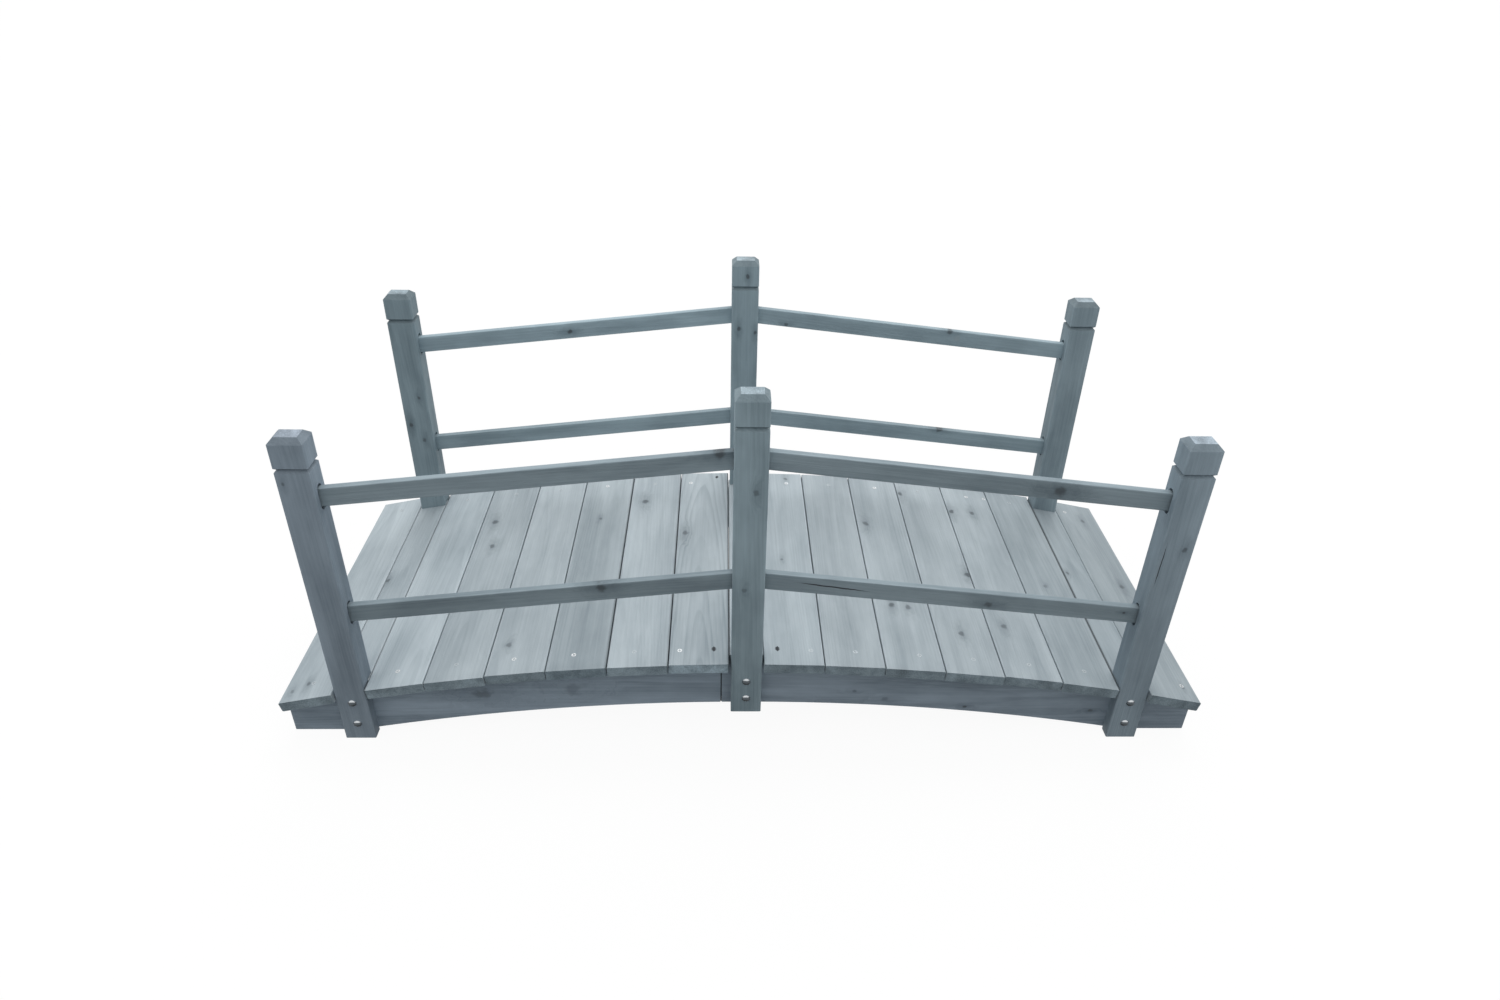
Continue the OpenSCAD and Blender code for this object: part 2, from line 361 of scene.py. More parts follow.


# painted shade along the long edges of a board, at the seams, by its own amount on the left and on the right
seamShadeFade = (0.5 * mm, 3.2 * mm)  # from the edge


def buildSeamShadeGroup():
    group, given, out = newGroup(
        "seamShade",
        [("Across", "Float", 0.0), ("Half", "Float", 0.05), ("Left", "Float", 0.0), ("Right", "Float", 0.0)],
        [("PaintedShade", "Float")])
    fromLeft = calc(group, "ADD", given["Half"], given["Across"])
    fromRight = calc(group, "SUBTRACT", given["Half"], given["Across"])
    left = remap(group, fromLeft, *seamShadeFade, given["Left"], 0.0)
    right = remap(group, fromRight, *seamShadeFade, given["Right"], 0.0)
    feed(group, out["PaintedShade"], calc(group, "MAXIMUM", left, right))
    return group


sawnGrain = buildGrainGroup()
knotGroup = buildKnotGroup()
crackGroup = buildCrackGroup()
wornArris = buildWearGroup()
endGrain = buildEndGroup()
seamShade = buildSeamShadeGroup()


# stained softwood, one material a piece, because each piece has its own rings and knots
woodLooks = {
    "deck": {"pale": (0.500, 0.567, 0.605), "dark": (0.270, 0.322, 0.356), "ends": (0.60, 0.655, 0.685),
             "chamfer": 1.0, "groundShade": 1.0,
             "rings": 0.13, "streaks": 0.42, "fibres": 0.11, "blotch": 0.34, "level": 0.55},
    "frame": {"pale": (0.345, 0.425, 0.470), "dark": (0.180, 0.230, 0.262), "ends": (1.12, 1.08, 1.08),
              "chamfer": 0.70, "groundShade": 0.72,
              "rings": 0.13, "streaks": 0.46, "fibres": 0.14, "blotch": 0.50, "level": 0.54},
    "stringer": {"pale": (0.370, 0.440, 0.490), "dark": (0.165, 0.205, 0.235), "ends": (0.98, 0.98, 0.98),
                 "chamfer": 1.0, "groundShade": 0.80,
                 "rings": 0.16, "streaks": 0.50, "fibres": 0.14, "blotch": 0.46, "level": 0.55},
}
woodFinish = {
    "knot": (0.088, 0.108, 0.122, 1),
    "haloShade": (0.55, 0.57, 0.59, 1),
    "halo": 0.8,
    "bare": (0.330, 0.390, 0.420, 1),   # where the stain has rubbed off
    "crackShade": (0.030, 0.036, 0.042, 1),
    # painted shade in the seams between boards
    "paintedShade": (0.045, 0.054, 0.062, 1),
    "wear": 0.24,
    "groundShadeTop": 0.62,                    # metres above the ground, where the painted shade stops
    "roughness": (0.72, 0.56),          # between fibres and on them
    "specular": 0.3,
    "reliefStrength": 0.5,
    "reliefDepth": 0.5,                 # mm
    "fibreRelief": 0.5,
    "ringRelief": 0.4,
    "knotRelief": -0.5,
    "crackRelief": -2.0,
}
plainPiece = {  # what a piece has unless its own look says otherwise
    "tone": 1.0,
    "tint": (1, 1, 1),
    "ends": 1.0,
    "paintedLightRamp": 0.0,            # painted light, paler towards one end
    "pith": (0.0, 0.05),    # metres across and through
    "ringWidth": 4.0,       # mm
    "ringGain": 1.0,
    "taper": 0.02,
    "knots": (),            # mm along and across from the middle, radius in mm, depth
    "bare": (),
    "cracks": (),           # mm along and across, half length and width in mm, slope
    "seams": (0, 0),        # painted shade at the left and right edge
}


def opaque(colour, factor=1.0):
    return (*[c * factor for c in colour], 1)


def stained(colour, piece):
    return opaque([c * t for c, t in zip(colour, piece["tint"])], piece["tone"])


def layOnPiece(tree, where, axes, centre):
    lay = tree.nodes.new("ShaderNodeMapping")  # turns the frame's axes into along, across and through
    turn = Matrix(axes)
    lay.inputs["Rotation"].default_value = turn.to_euler()
    lay.inputs["Location"].default_value = -(turn @ centre)
    tree.links.new(where.outputs["Object"], lay.inputs["Vector"])
    return lay.outputs["Vector"]


def placeKnots(tree, local, knots):
    marks = {"Core": 0.0, "Halo": 0.0, "Push": 0.0}
    for along, across, radius, depth in knots:
        marks = placeGroup(tree, knotGroup, Vector=local, Spot=(along * mm, across * mm, 0),
                           Radius=radius * mm, Depth=depth,
                           Core=marks["Core"], Halo=marks["Halo"], Push=marks["Push"])
    return marks["Core"], marks["Halo"], marks["Push"]


def placeCracks(tree, local, cracks):
    split = 0.0
    for along, across, half, width, lean in cracks:
        split = placeGroup(tree, crackGroup, Vector=local, Spot=(along * mm, across * mm, 0),
                           Half=half * mm, Width=width * mm, Lean=lean, Split=split)["Split"]
    return split


def stainColour(tree, look, piece, local, half, grain):
    value = look["level"] - (look["streaks"] + look["fibres"] + look["blotch"]) / 2
    for label in ("Streaks", "Fibres", "Blotch"):
        value = calc(tree, "MULTIPLY_ADD", grain[label], look[label.lower()], value)
    value = calc(tree, "MULTIPLY_ADD", grain["Rings"], -look["rings"] * piece["ringGain"], value)
    wear = placeGroup(tree, wornArris, Vector=local, Half=half)["Wear"]
    value = calc(tree, "MULTIPLY_ADD", wear, woodFinish["wear"], value)
    along = splitVector(tree, local)[0]
    # painted light: paler towards one end of the piece
    value = calc(tree, "MULTIPLY_ADD", along, piece["paintedLightRamp"] / half[0], value)
    value.node.use_clamp = True
    return blendColour(tree, value, stained(look["dark"], piece), stained(look["pale"], piece))


def markColour(tree, colour, piece, local, half, core, halo, split):
    if piece["knots"]:
        around = calc(tree, "MULTIPLY", halo, woodFinish["halo"])
        colour = blendColour(tree, around, colour, woodFinish["haloShade"], "MULTIPLY")
        colour = blendColour(tree, core, colour, woodFinish["knot"])
    if piece["bare"]:
        rubbed = placeKnots(tree, local, piece["bare"])[0]
        colour = blendColour(tree, rubbed, colour, woodFinish["bare"])
    # painted shade in the cracks
    if piece["cracks"]:
        colour = blendColour(tree, split, colour, woodFinish["crackShade"])
    # painted shade along the seams
    if any(piece["seams"]):
        left, right = piece["seams"]
        across = splitVector(tree, local)[1]
        paintedShade = placeGroup(tree, seamShade, Across=across, Half=half[1], Left=left, Right=right)["PaintedShade"]
        colour = blendColour(tree, paintedShade, colour, woodFinish["paintedShade"])
    return colour


def woodMaterial(name, look, axes, centre, half, seed, **own):
    piece = {**plainPiece, **own}
    material, tree, shader, where = newMaterial(name)
    local = layOnPiece(tree, where, axes, centre)
    core, halo, push = placeKnots(tree, local, piece["knots"])
    split = placeCracks(tree, local, piece["cracks"])
    grain = placeGroup(tree, sawnGrain, Vector=local, Pith=(0, *piece["pith"]), Seed=seed,
                       RingWidth=piece["ringWidth"] * mm, Taper=piece["taper"], Push=push)
    colour = stainColour(tree, look, piece, local, half, grain)
    colour = markColour(tree, colour, piece, local, half, core, halo, split)
    facing = calc(tree, "ABSOLUTE", vectorCalc(tree, "DOT_PRODUCT", where.outputs["Normal"], axes[0]))
    ends = placeGroup(tree, endGrain, Facing=facing, Streaks=grain["Streaks"], Fibres=grain["Fibres"],
                      Ends=opaque(look["ends"], piece["ends"]), Chamfer=look["chamfer"])["Shade"]
    colour = blendColour(tree, 1.0, colour, ends, "MULTIPLY")
    if look["groundShade"] < 1:  # painted shade, darker towards the ground
        height = splitVector(tree, where.outputs["Object"])[2]
        groundShade = remap(tree, height, woodFinish["groundShadeTop"], 0.0, 1.0, look["groundShade"])
        colour = blendColour(tree, 1.0, colour, groundShade, "MULTIPLY")
    tree.links.new(colour, shader.inputs["Base Color"])
    roughness = remap(tree, grain["Fibres"], 0.0, 1.0, *woodFinish["roughness"])
    tree.links.new(roughness, shader.inputs["Roughness"])
    shader.inputs["Specular IOR Level"].default_value = woodFinish["specular"]
    height = calc(tree, "MULTIPLY", grain["Rings"], woodFinish["ringRelief"])
    height = calc(tree, "MULTIPLY_ADD", grain["Fibres"], woodFinish["fibreRelief"], height)
    height = calc(tree, "MULTIPLY_ADD", core, woodFinish["knotRelief"], height)
    height = calc(tree, "MULTIPLY_ADD", split, woodFinish["crackRelief"], height)
    addRelief(tree, shader, height, woodFinish["reliefStrength"], woodFinish["reliefDepth"])
    return material


def dress(node, material):
    nodes[node].material_slots[0].material = material


def boxOf(node):
    low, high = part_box(node)
    return low, high, (low + high) / 2


# tints of the stain on single pieces
faintBlue = (0.99, 1.0, 1.003)
bluer = (1.0, 1.0, 1.03)
cooler = (0.99, 1.0, 1.05)
greyer = (1.02, 1.0, 1.055)
greener = (0.965, 1.0, 1.0)
faintGreen = (0.985, 1.0, 1.0)


# deck boards: the grain runs across the bridge, and each board tilts with the arch
archRadius = 3.5  # metres
boardThick = 18 * mm
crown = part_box("middle_filler_board")[1].z
boardLooks = {
    "left_end_board": {"seed": 1.3, "tone": 1.00, "paintedLightRamp": 0.06, "pith": (0.02, 0.06), "ends": 1.0,
                       "knots": [(-262, -6, 5, 0.7), (-276, -30, 4, 0.5)]},
    "left_filler_board": {"seed": 2.1, "tone": 1.00, "pith": (0.0, 0.09),
                          "knots": [(6, -23.5, 5, 0.8)], "seams": (0.5, 0)},
    "deck_board_1": {"seed": 3.7, "tone": 1.06, "paintedLightRamp": -0.05, "pith": (-0.03, 0.05), "ends": 0.95,
                     "seams": (0.7, 0)},
    "deck_board_2": {"seed": 4.9, "tone": 0.93, "paintedLightRamp": 0.00, "pith": (0.01, 0.04), "ends": 1.1,
                     "knots": [(164, -23, 7, 0.8), (79, -12, 6, 0.7)]},
    "deck_board_3": {"seed": 5.2, "tone": 0.94, "paintedLightRamp": 0.17, "pith": (0.04, 0.07), "ends": 0.9,
                     "knots": [(-226, -21, 5, 0.6)]},
    "deck_board_4": {"seed": 6.8, "tint": faintBlue, "tone": 0.87, "paintedLightRamp": 0.28, "pith": (-0.02, 0.05),
                     "ends": 1.15, "knots": [(141, -6, 4, 0.6)], "seams": (0, 0.45)},
    "deck_board_5": {"seed": 7.5, "tone": 1.01, "paintedLightRamp": 0.05, "pith": (0.05, 0.08), "ends": 1.0,
                     "knots": [(197, -20, 7, 0.8)], "seams": (0.15, 0.4)},
    "deck_board_6": {"seed": 8.4, "tone": 0.98, "paintedLightRamp": 0.15, "pith": (0.0, 0.03), "ends": 1.5,
                     "ringGain": 2.4, "ringWidth": 7.0, "taper": 0.06, "knots": [(77, -34, 7, 0.7)],
                     "cracks": [(-262, 24, 7.0, 5.0, 0), (284, 25, 6.0, 4.4, 0)], "seams": (0, 0.9)},
    "middle_filler_board": {"seed": 9.9, "tone": 1.05, "pith": (0.03, 0.08), "seams": (0.3, 0.3)},
    "deck_board_7": {"seed": 10.6, "tone": 1.03, "paintedLightRamp": 0.06, "pith": (0.05, 0.06), "ends": 0.9,
                     "knots": [(279, 16, 5, 0.6), (-10, -7, 3, 0.5)], "cracks": [(-261, -26, 7.0, 5.0, 0)]},
    "deck_board_8": {"seed": 11.1, "tone": 0.92, "paintedLightRamp": 0.00, "pith": (-0.04, 0.05), "ends": 1.05},
    "deck_board_9": {"seed": 12.7, "tone": 0.95, "paintedLightRamp": 0.09, "pith": (0.01, 0.06), "ends": 0.9,
                     "knots": [(125, -32, 7, 0.7), (-132, -17, 6, 0.8), (-135, 12, 6, 0.7)]},
    "deck_board_10": {"seed": 13.3, "tone": 0.92, "paintedLightRamp": 0.09, "pith": (0.03, 0.04), "ends": 1.1,
                      "knots": [(248, -43, 7, 0.8), (-196, -4, 6, 0.7), (-22, 44, 6, 0.9)]},
    "deck_board_11": {"seed": 14.8, "tone": 0.95, "paintedLightRamp": 0.10, "pith": (-0.02, 0.05), "ends": 0.95,
                      "knots": [(196, -42, 7, 0.8), (199, 2, 6, 0.7), (-168, -20, 6, 0.7)]},
    "deck_board_12": {"seed": 15.2, "tint": faintBlue, "tone": 0.87, "paintedLightRamp": -0.02, "pith": (0.02, 0.07),
                      "ends": 1.05, "knots": [(-28, -4, 5, 0.4)], "seams": (0, 0.8)},
    "right_filler_board": {"seed": 16.6, "tint": faintBlue, "tone": 0.90, "pith": (0.0, 0.06),
                           "knots": [(27, -20, 4, 0.6)], "seams": (0.7, 0)},
    "right_end_board": {"seed": 17.4, "tint": faintBlue, "tone": 0.78, "paintedLightRamp": 0.09, "pith": (0.03, 0.05),
                        "ends": 1.0, "knots": [(11, 16, 6, 0.7), (239, 8, 6, 0.6), (-268, 25, 3, 0.5)]},
}


def boardTilt(centre):
    return math.atan2(centre.x, centre.z - crown + archRadius)


def dressBoards():
    for node, look in boardLooks.items():
        low, high, centre = boxOf(node)
        tilt = boardTilt(centre)
        axes = [(0, 1, 0), (math.cos(tilt), 0, -math.sin(tilt)), (-math.sin(tilt), 0, -math.cos(tilt))]
        width = ((high.x - low.x) - boardThick * abs(math.sin(tilt))) / math.cos(tilt)
        half = ((high.y - low.y) / 2, width / 2, boardThick / 2)
        dress(node, woodMaterial("stained_" + node, woodLooks["deck"], axes, centre, half, **look))


dressBoards()
print("deck boards dressed")


# posts, rails and stringers
framePiths = {"post": (0.02, 0.05), "rail": (0.03, 0.03), "stringer": (0.0, 0.06)}
frameSeeds = (20, 1.37)  # the first, and the step to the next
railHalfHeight = 15.25 * mm
frameLooks = {
    "front_left_post": {"tone": 1.12, "paintedLightRamp": 0.10, "tint": greyer, "knots": [(214, -15, 3, 0.6)]},
    "front_middle_post": {"tone": 1.33, "paintedLightRamp": 0.05, "tint": greener,
                          "knots": [(137, 8, 5, 0.6), (-38, -6, 4, 0.5)]},
    "front_right_post": {"tone": 1.27, "tint": bluer, "knots": [(107, 11, 4.5, 0.7)],
                         "cracks": [(78, -19, 45, 1.2, 0.02)]},
    "rear_left_post": {"tone": 1.10, "tint": greener,
                       "knots": [(76, 10, 3.5, 0.8), (16, -14, 4.5, 0.9), (-17, 7, 4.5, 0.7)]},
    "rear_middle_post": {"tone": 1.14, "tint": greener,
                         "knots": [(264, 4, 4, 0.9), (161, -11, 4.5, 0.9), (154, 20, 4, 0.9)]},
    "rear_right_post": {"tone": 1.18, "tint": faintGreen},
    "front_left_upper_rail": {"tone": 1.07, "knots": [(281, 13, 8, 1.0)]},
    "front_left_lower_rail": {"tone": 1.11, "knots": [(97, 8.5, 8, 1.0)]},
    "front_right_upper_rail": {"tone": 1.07, "knots": [(132, -1, 9, 1.0)]},
    "front_right_lower_rail": {"tone": 1.11, "knots": [(56, -5, 6, 0.8), (277, 4, 2.5, 1.0)],
                               "cracks": [(-192, 1, 64, 1.9, -0.04)]},
    "rear_left_upper_rail": {"tone": 1.46, "tint": greener, "knots": [(-10, -1.5, 5, 1.0)]},
    "rear_left_lower_rail": {"tone": 1.21, "tint": greener},
    "rear_right_upper_rail": {"tone": 1.25, "tint": greener,
                              "knots": [(-244, -10, 3.5, 0.8), (71, 12.5, 5, 0.8)],
                              "bare": [(87, 0, 7, 0.6)]},
    "rear_right_lower_rail": {"tone": 1.20, "tint": greener, "knots": [(77, 15, 6, 0.8)]},
    "front_left_stringer": {"tone": 1.39, "tint": cooler, "knots": [(-77, 7, 13, 0.5), (73, 16, 12, 0.3)]},
    "front_right_stringer": {"tone": 1.20, "tint": cooler,
                             "knots": [(-178, 12, 4, 0.5), (-125, -6, 5, 0.4),
                                       (13, -23, 3.5, 0.9), (231, -32, 4, 0.7)]},
    "rear_left_stringer": {"tone": 1.25, "tint": cooler, "knots": [(130, -8, 5, 0.6)]},
    "rear_right_stringer": {"tone": 1.25, "tint": cooler, "knots": [(-40, 6, 5, 0.6)]},
}


def railSlope():
    middleTop, endTop = boxOf("front_middle_post"), boxOf("front_right_post")
    return math.atan2(middleTop[1].z - endTop[1].z, endTop[2].x - middleTop[2].x)


def layFramePiece(kind, size, centre, slope):
    if kind == "post":
        return [(0, 0, 1), (1, 0, 0), (0, 1, 0)], (size.z / 2, size.x / 2, size.y / 2)
    if kind == "stringer":
        return [(1, 0, 0), (0, 0, 1), (0, -1, 0)], (size.x / 2, size.z, size.y / 2)
    fall = math.copysign(slope, centre.x)  # rails fall away from the middle post
    axes = [(math.cos(fall), 0, -math.sin(fall)), (math.sin(fall), 0, math.cos(fall)), (0, -1, 0)]
    return axes, (size.x / 2 / math.cos(fall), railHalfHeight, size.y / 2)


def dressFrame():
    slope = railSlope()
    firstSeed, seedStep = frameSeeds
    for number, (node, look) in enumerate(frameLooks.items()):
        kind = node.split("_")[-1]
        low, high, centre = boxOf(node)
        axes, half = layFramePiece(kind, high - low, centre, slope)
        wood = woodLooks["stringer" if kind == "stringer" else "frame"]
        seed = firstSeed + seedStep * number
        pith = framePiths[kind]
        dress(node, woodMaterial("stained_" + node, wood, axes, centre, half, seed, pith=pith, **look))


dressFrame()
print("posts, rails and stringers dressed")


# metal with a painted highlight on the faces that look up, and painted shade on the faces that look down
metalLooks = {
    "zincPlate": {"paintedHighlight": (0.63, 0.66, 0.68), "dull": (0.085, 0.098, 0.108), "paintedShade": (0.018, 0.022, 0.025),
                  "rough": 0.22, "metallic": 1.0},
    "screwSteel": {"paintedHighlight": (0.74, 0.76, 0.77), "dull": (0.32, 0.34, 0.35), "paintedShade": (0.10, 0.11, 0.12),
                   "rough": 0.35, "metallic": 0.5},
    "stainedSteel": {"paintedHighlight": (0.50, 0.55, 0.58), "dull": (0.22, 0.26, 0.285), "paintedShade": (0.10, 0.11, 0.12),
                     "rough": 0.45, "metallic": 0.4},
    "recessPaintedShade": {"paintedHighlight": (0.10, 0.115, 0.125), "dull": (0.05, 0.06, 0.065), "paintedShade": (0.03, 0.035, 0.04),
                    "rough": 0.6, "metallic": 1.0},
}
paintedLightForm = {
    "cloud": ((420, 420, 420), 3, 0.6),  # waves a metre, detail and roughness
    "cloudGain": 0.35,
    "paintedHighlight": (0.36, 0.60),               # how far a face looks up
    "paintedShade": (0.12, -0.25),
    "cloudRange": (0.3, 0.7),
    "roughSpread": 0.15,
}


def buildPaintedLightGroup():
    form = paintedLightForm
    group, given, out = newGroup(
        "paintedHighlightShade",
        [("Vector", "Vector", (0, 0, 0)), ("Up", "Float", 0.0)],
        [("PaintedHighlight", "Float"), ("PaintedShade", "Float"), ("Cloud", "Float")])
    cloud = noise(group, given["Vector"], *form["cloud"])
    # faces that look up get the painted highlight colour, faces that look down the painted shade colour
    lightLevel = calc(group, "MULTIPLY_ADD", calc(group, "SUBTRACT", cloud, 0.5), form["cloudGain"], given["Up"])
    feed(group, out["PaintedHighlight"], remap(group, lightLevel, *form["paintedHighlight"]))
    feed(group, out["PaintedShade"], remap(group, lightLevel, *form["paintedShade"]))
    feed(group, out["Cloud"], remap(group, cloud, *form["cloudRange"]))
    return group


paintedHighlightShade = buildPaintedLightGroup()


def metalMaterial(name):
    look = metalLooks[name]
    material, tree, shader, where = newMaterial(name)
    upward = splitVector(tree, where.outputs["Normal"])[2]
    paintedLight = placeGroup(tree, paintedHighlightShade, Vector=where.outputs["Object"], Up=upward)
    # painted highlight on top, painted shade below
    colour = blendColour(tree, paintedLight["PaintedHighlight"], opaque(look["dull"]), opaque(look["paintedHighlight"]))
    colour = blendColour(tree, paintedLight["PaintedShade"], colour, opaque(look["paintedShade"]))
    tree.links.new(colour, shader.inputs["Base Color"])
    roughness = calc(tree, "MULTIPLY_ADD", paintedLight["Cloud"], paintedLightForm["roughSpread"], look["rough"])
    tree.links.new(roughness, shader.inputs["Roughness"])
    shader.inputs["Metallic"].default_value = look["metallic"]
    return material


def edgesOf(verts):
    return list(dict.fromkeys(edge for vert in verts for edge in vert.link_edges))


def joinCopies(name, shape, places, materials, smoothBelow):
    joined = bmesh.new()
    for place in places:
        copy = shape.copy()
        bmesh.ops.transform(copy, matrix=place, verts=copy.verts)
        mesh = bpy.data.meshes.new(name)
        copy.to_mesh(mesh)
        joined.from_mesh(mesh)
        bpy.data.meshes.remove(mesh)
        copy.free()
    for face in joined.faces:
        face.smooth = True
    for edge in joined.edges:
        edge.smooth = edge.calc_face_angle(0.0) < math.radians(smoothBelow)
    mesh = bpy.data.meshes.new(name)
    joined.to_mesh(mesh)
    joined.free()
    for material in materials:
        mesh.materials.append(material)
    piece = bpy.data.objects.new(name, mesh)
    scene.collection.objects.link(piece)
    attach(piece, "root")


# bolts through the posts' tongues and the stringers, with a dome head outside and a nut inside
bolts = {
    "dome": [(0, 3.8), (2.2, 3.6), (4.3, 2.9), (5.9, 1.7), (6.7, 0.5), (6.8, -0.2)],  # radius and height, mm
    "washer": [(0, 0), (6.9, 0), (7.2, -0.3), (7.2, -1.0), (6.9, -1.3), (0, -1.3)],
    "threadEnd": [(3.0, -5.8), (3.0, -8.6), (2.4, -9.4), (0, -9.4)],
    "turnSteps": 28,
    "mergeBelow": 0.01,
    "nutRadius": 5.8,
    "nutFrom": -1.3,
    "nutTo": -6.3,
    "nutBevel": 0.5,
    "endHeights": (79, 33),      # above the ground
    "middleHeights": (126.5, 90),
    "smoothBelow": 35,           # degrees
}


def turnProfile(bm, profile, drop=0.0):
    points = [bm.verts.new((radius * mm, 0, height * mm - drop)) for radius, height in profile]
    edges = [bm.edges.new(pair) for pair in zip(points, points[1:])]
    bmesh.ops.spin(bm, geom=points + edges, cent=(0, 0, 0), axis=(0, 0, 1), angle=math.tau,
                   steps=bolts["turnSteps"], use_merge=True)


def boltShape(grip):
    bm = bmesh.new()
    turnProfile(bm, bolts["dome"])
    turnProfile(bm, bolts["washer"], grip)
    turnProfile(bm, bolts["threadEnd"], grip)
    bmesh.ops.remove_doubles(bm, verts=bm.verts, dist=bolts["mergeBelow"] * mm)
    thick = (bolts["nutFrom"] - bolts["nutTo"]) * mm
    nutPlace = Matrix.Translation((0, 0, bolts["nutFrom"] * mm - thick / 2 - grip))
    nut = bmesh.ops.create_cone(bm, cap_ends=True, segments=6, radius1=bolts["nutRadius"] * mm,
                                radius2=bolts["nutRadius"] * mm, depth=thick, matrix=nutPlace)
    bmesh.ops.bevel(bm, geom=edgesOf(nut["verts"]), offset=bolts["nutBevel"] * mm, segments=2, profile=0.5,
                    affect="EDGES", material=-1)
    bmesh.ops.recalc_face_normals(bm, faces=bm.faces)
    return bm


def addBolts():
    zinc = metalMaterial("zincPlate")
    for side in ("front", "rear"):
        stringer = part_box(side + "_left_stringer")
        for spot in ("left", "middle", "right"):
            post = side + "_" + spot + "_post"
            low, high, centre = boxOf(post)
            outer, inner = (low.y, stringer[1].y) if side == "front" else (high.y, stringer[0].y)
            turn = Matrix.Rotation(math.radians(90 if side == "front" else -90), 4, "X")
            heights = bolts["middleHeights" if spot == "middle" else "endHeights"]
            places = [Matrix.Translation((centre.x, outer, height * mm)) @ turn for height in heights]
            shape = boltShape(abs(inner - outer))
            joinCopies(post + "_bolts", shape, places, [zinc], bolts["smoothBelow"])
            shape.free()


addBolts()
print("bolts made")


# screws that hold the boards down, some bright and some stained over
deckScrews = {
    "radius": 3.7,
    "sides": 24,
    "armLength": 2.8,         # of the cross recess, from the middle
    "armWidth": 1.7,
    "recess": 1.3,
    "proud": 0.25,            # above the board
    "sunk": 1.6,              # below the board's face
    "recessTurn": (7.0, 3.0),  # radians a metre along and across, so that the recesses differ
    "smoothBelow": 30,        # degrees
    "frontLine": -263,        # across the bridge
    "rearLine": 263,
    "frontBright": (-573, -380, -282, -109, 742),
    "rearBright": (-279, -106, 93, 279, 476, 514, 694),
    "frontStained": (-475, -183, 106, 179, 286, 377, 472, 568, -715),
    "rearStained": (-573, -470, -377, -180, 182, 371, 570, -715),
}


def ofKind(geometry, kind):
    return [item for item in geometry if isinstance(item, kind)]


# walls down from a loop of edges, and the floor that closes them
def sink(bm, edges, depth):
    walls = bmesh.ops.extrude_edge_only(bm, edges=edges)["geom"]
    bmesh.ops.translate(bm, vec=(0, 0, -depth), verts=ofKind(walls, bmesh.types.BMVert))
    floor = bmesh.ops.edgeloop_fill(bm, edges=ofKind(walls, bmesh.types.BMEdge))["faces"]
    return ofKind(walls, bmesh.types.BMFace) + floor


def screwShape():
    bm = bmesh.new()
    top = deckScrews["proud"] * mm
    rim = bmesh.ops.create_circle(bm, segments=deckScrews["sides"], radius=deckScrews["radius"] * mm,
                                  matrix=Matrix.Translation((0, 0, top)))["verts"]
    rimEdges = edgesOf(rim)
    arm, half = deckScrews["armLength"] * mm, deckScrews["armWidth"] * mm / 2
    cross = []
    for quarter in range(4):
        turn = Matrix.Rotation(quarter * math.pi / 2, 4, "Z")
        corners = ((arm, -half, top), (arm, half, top), (half, half, top))
        cross += [bm.verts.new(turn @ Vector(corner)) for corner in corners]
    crossEdges = [bm.edges.new((cross[i - 1], cross[i])) for i in range(len(cross))]
    bmesh.ops.triangle_fill(bm, use_beauty=True, edges=rimEdges + crossEdges)
    # the cross recess takes the second material, painted shade
    for face in sink(bm, crossEdges, deckScrews["recess"] * mm):
        face.material_index = 1
    sink(bm, rimEdges, (deckScrews["proud"] + deckScrews["sunk"]) * mm)
    bmesh.ops.recalc_face_normals(bm, faces=bm.faces)
    return bm


def onBoard(x, y):
    for node in boardLooks:
        low, high, centre = boxOf(node)
        if low.x < x < high.x:
            tilt = boardTilt(centre)
            arch = Vector((archRadius * math.sin(tilt), y, crown - archRadius + archRadius * math.cos(tilt)))
            offset = (x - arch.x) / math.cos(tilt)
            place = arch + offset * Vector((math.cos(tilt), 0, -math.sin(tilt)))
            turnAlong, turnAcross = deckScrews["recessTurn"]
            spin = Matrix.Rotation(turnAlong * x + turnAcross * y, 4, "Z")
            return Matrix.Translation(place) @ Matrix.Rotation(tilt, 4, "Y") @ spin


def addScrews():
    # painted shade in the screws' cross recesses
    paintedShade = metalMaterial("recessPaintedShade")
    shape = screwShape()
    for finish, steel in (("Bright", "screwSteel"), ("Stained", "stainedSteel")):
        places = []
        for line in ("front", "rear"):
            for x in deckScrews[line + finish]:
                places.append(onBoard(x * mm, deckScrews[line + "Line"] * mm))
        materials = [metalMaterial(steel), paintedShade]
        joinCopies("deck_screws_" + finish.lower(), shape, places, materials, deckScrews["smoothBelow"])
    shape.free()


addScrews()
print("deck screws made")


# painted shade: a dark block in the open joint of each stringer's splice
spliceShadeFill = {
    "joint": 41,         # millimetres from the middle, at the front to the left
    "width": 1.9,
    "setBack": 1.5,      # behind the stringer's outer face
    "depth": 10.3,
    "height": 85.0,
    "below": 0.4,        # under the stringer's top
    "bevel": 0.4,
    "smoothBelow": 30,   # degrees
    "shadeDarkest": (0.012, 0.015, 0.018, 1),
    "shadeSpeckle": (0.034, 0.040, 0.045, 1),
    "speckleNoise": ((900, 900, 900), 3, 0.6),  # waves a metre, detail and roughness
    "speckleRange": (0.3, 0.7),
    "roughness": (0.95, 0.75),
    "relief": 0.3,
}


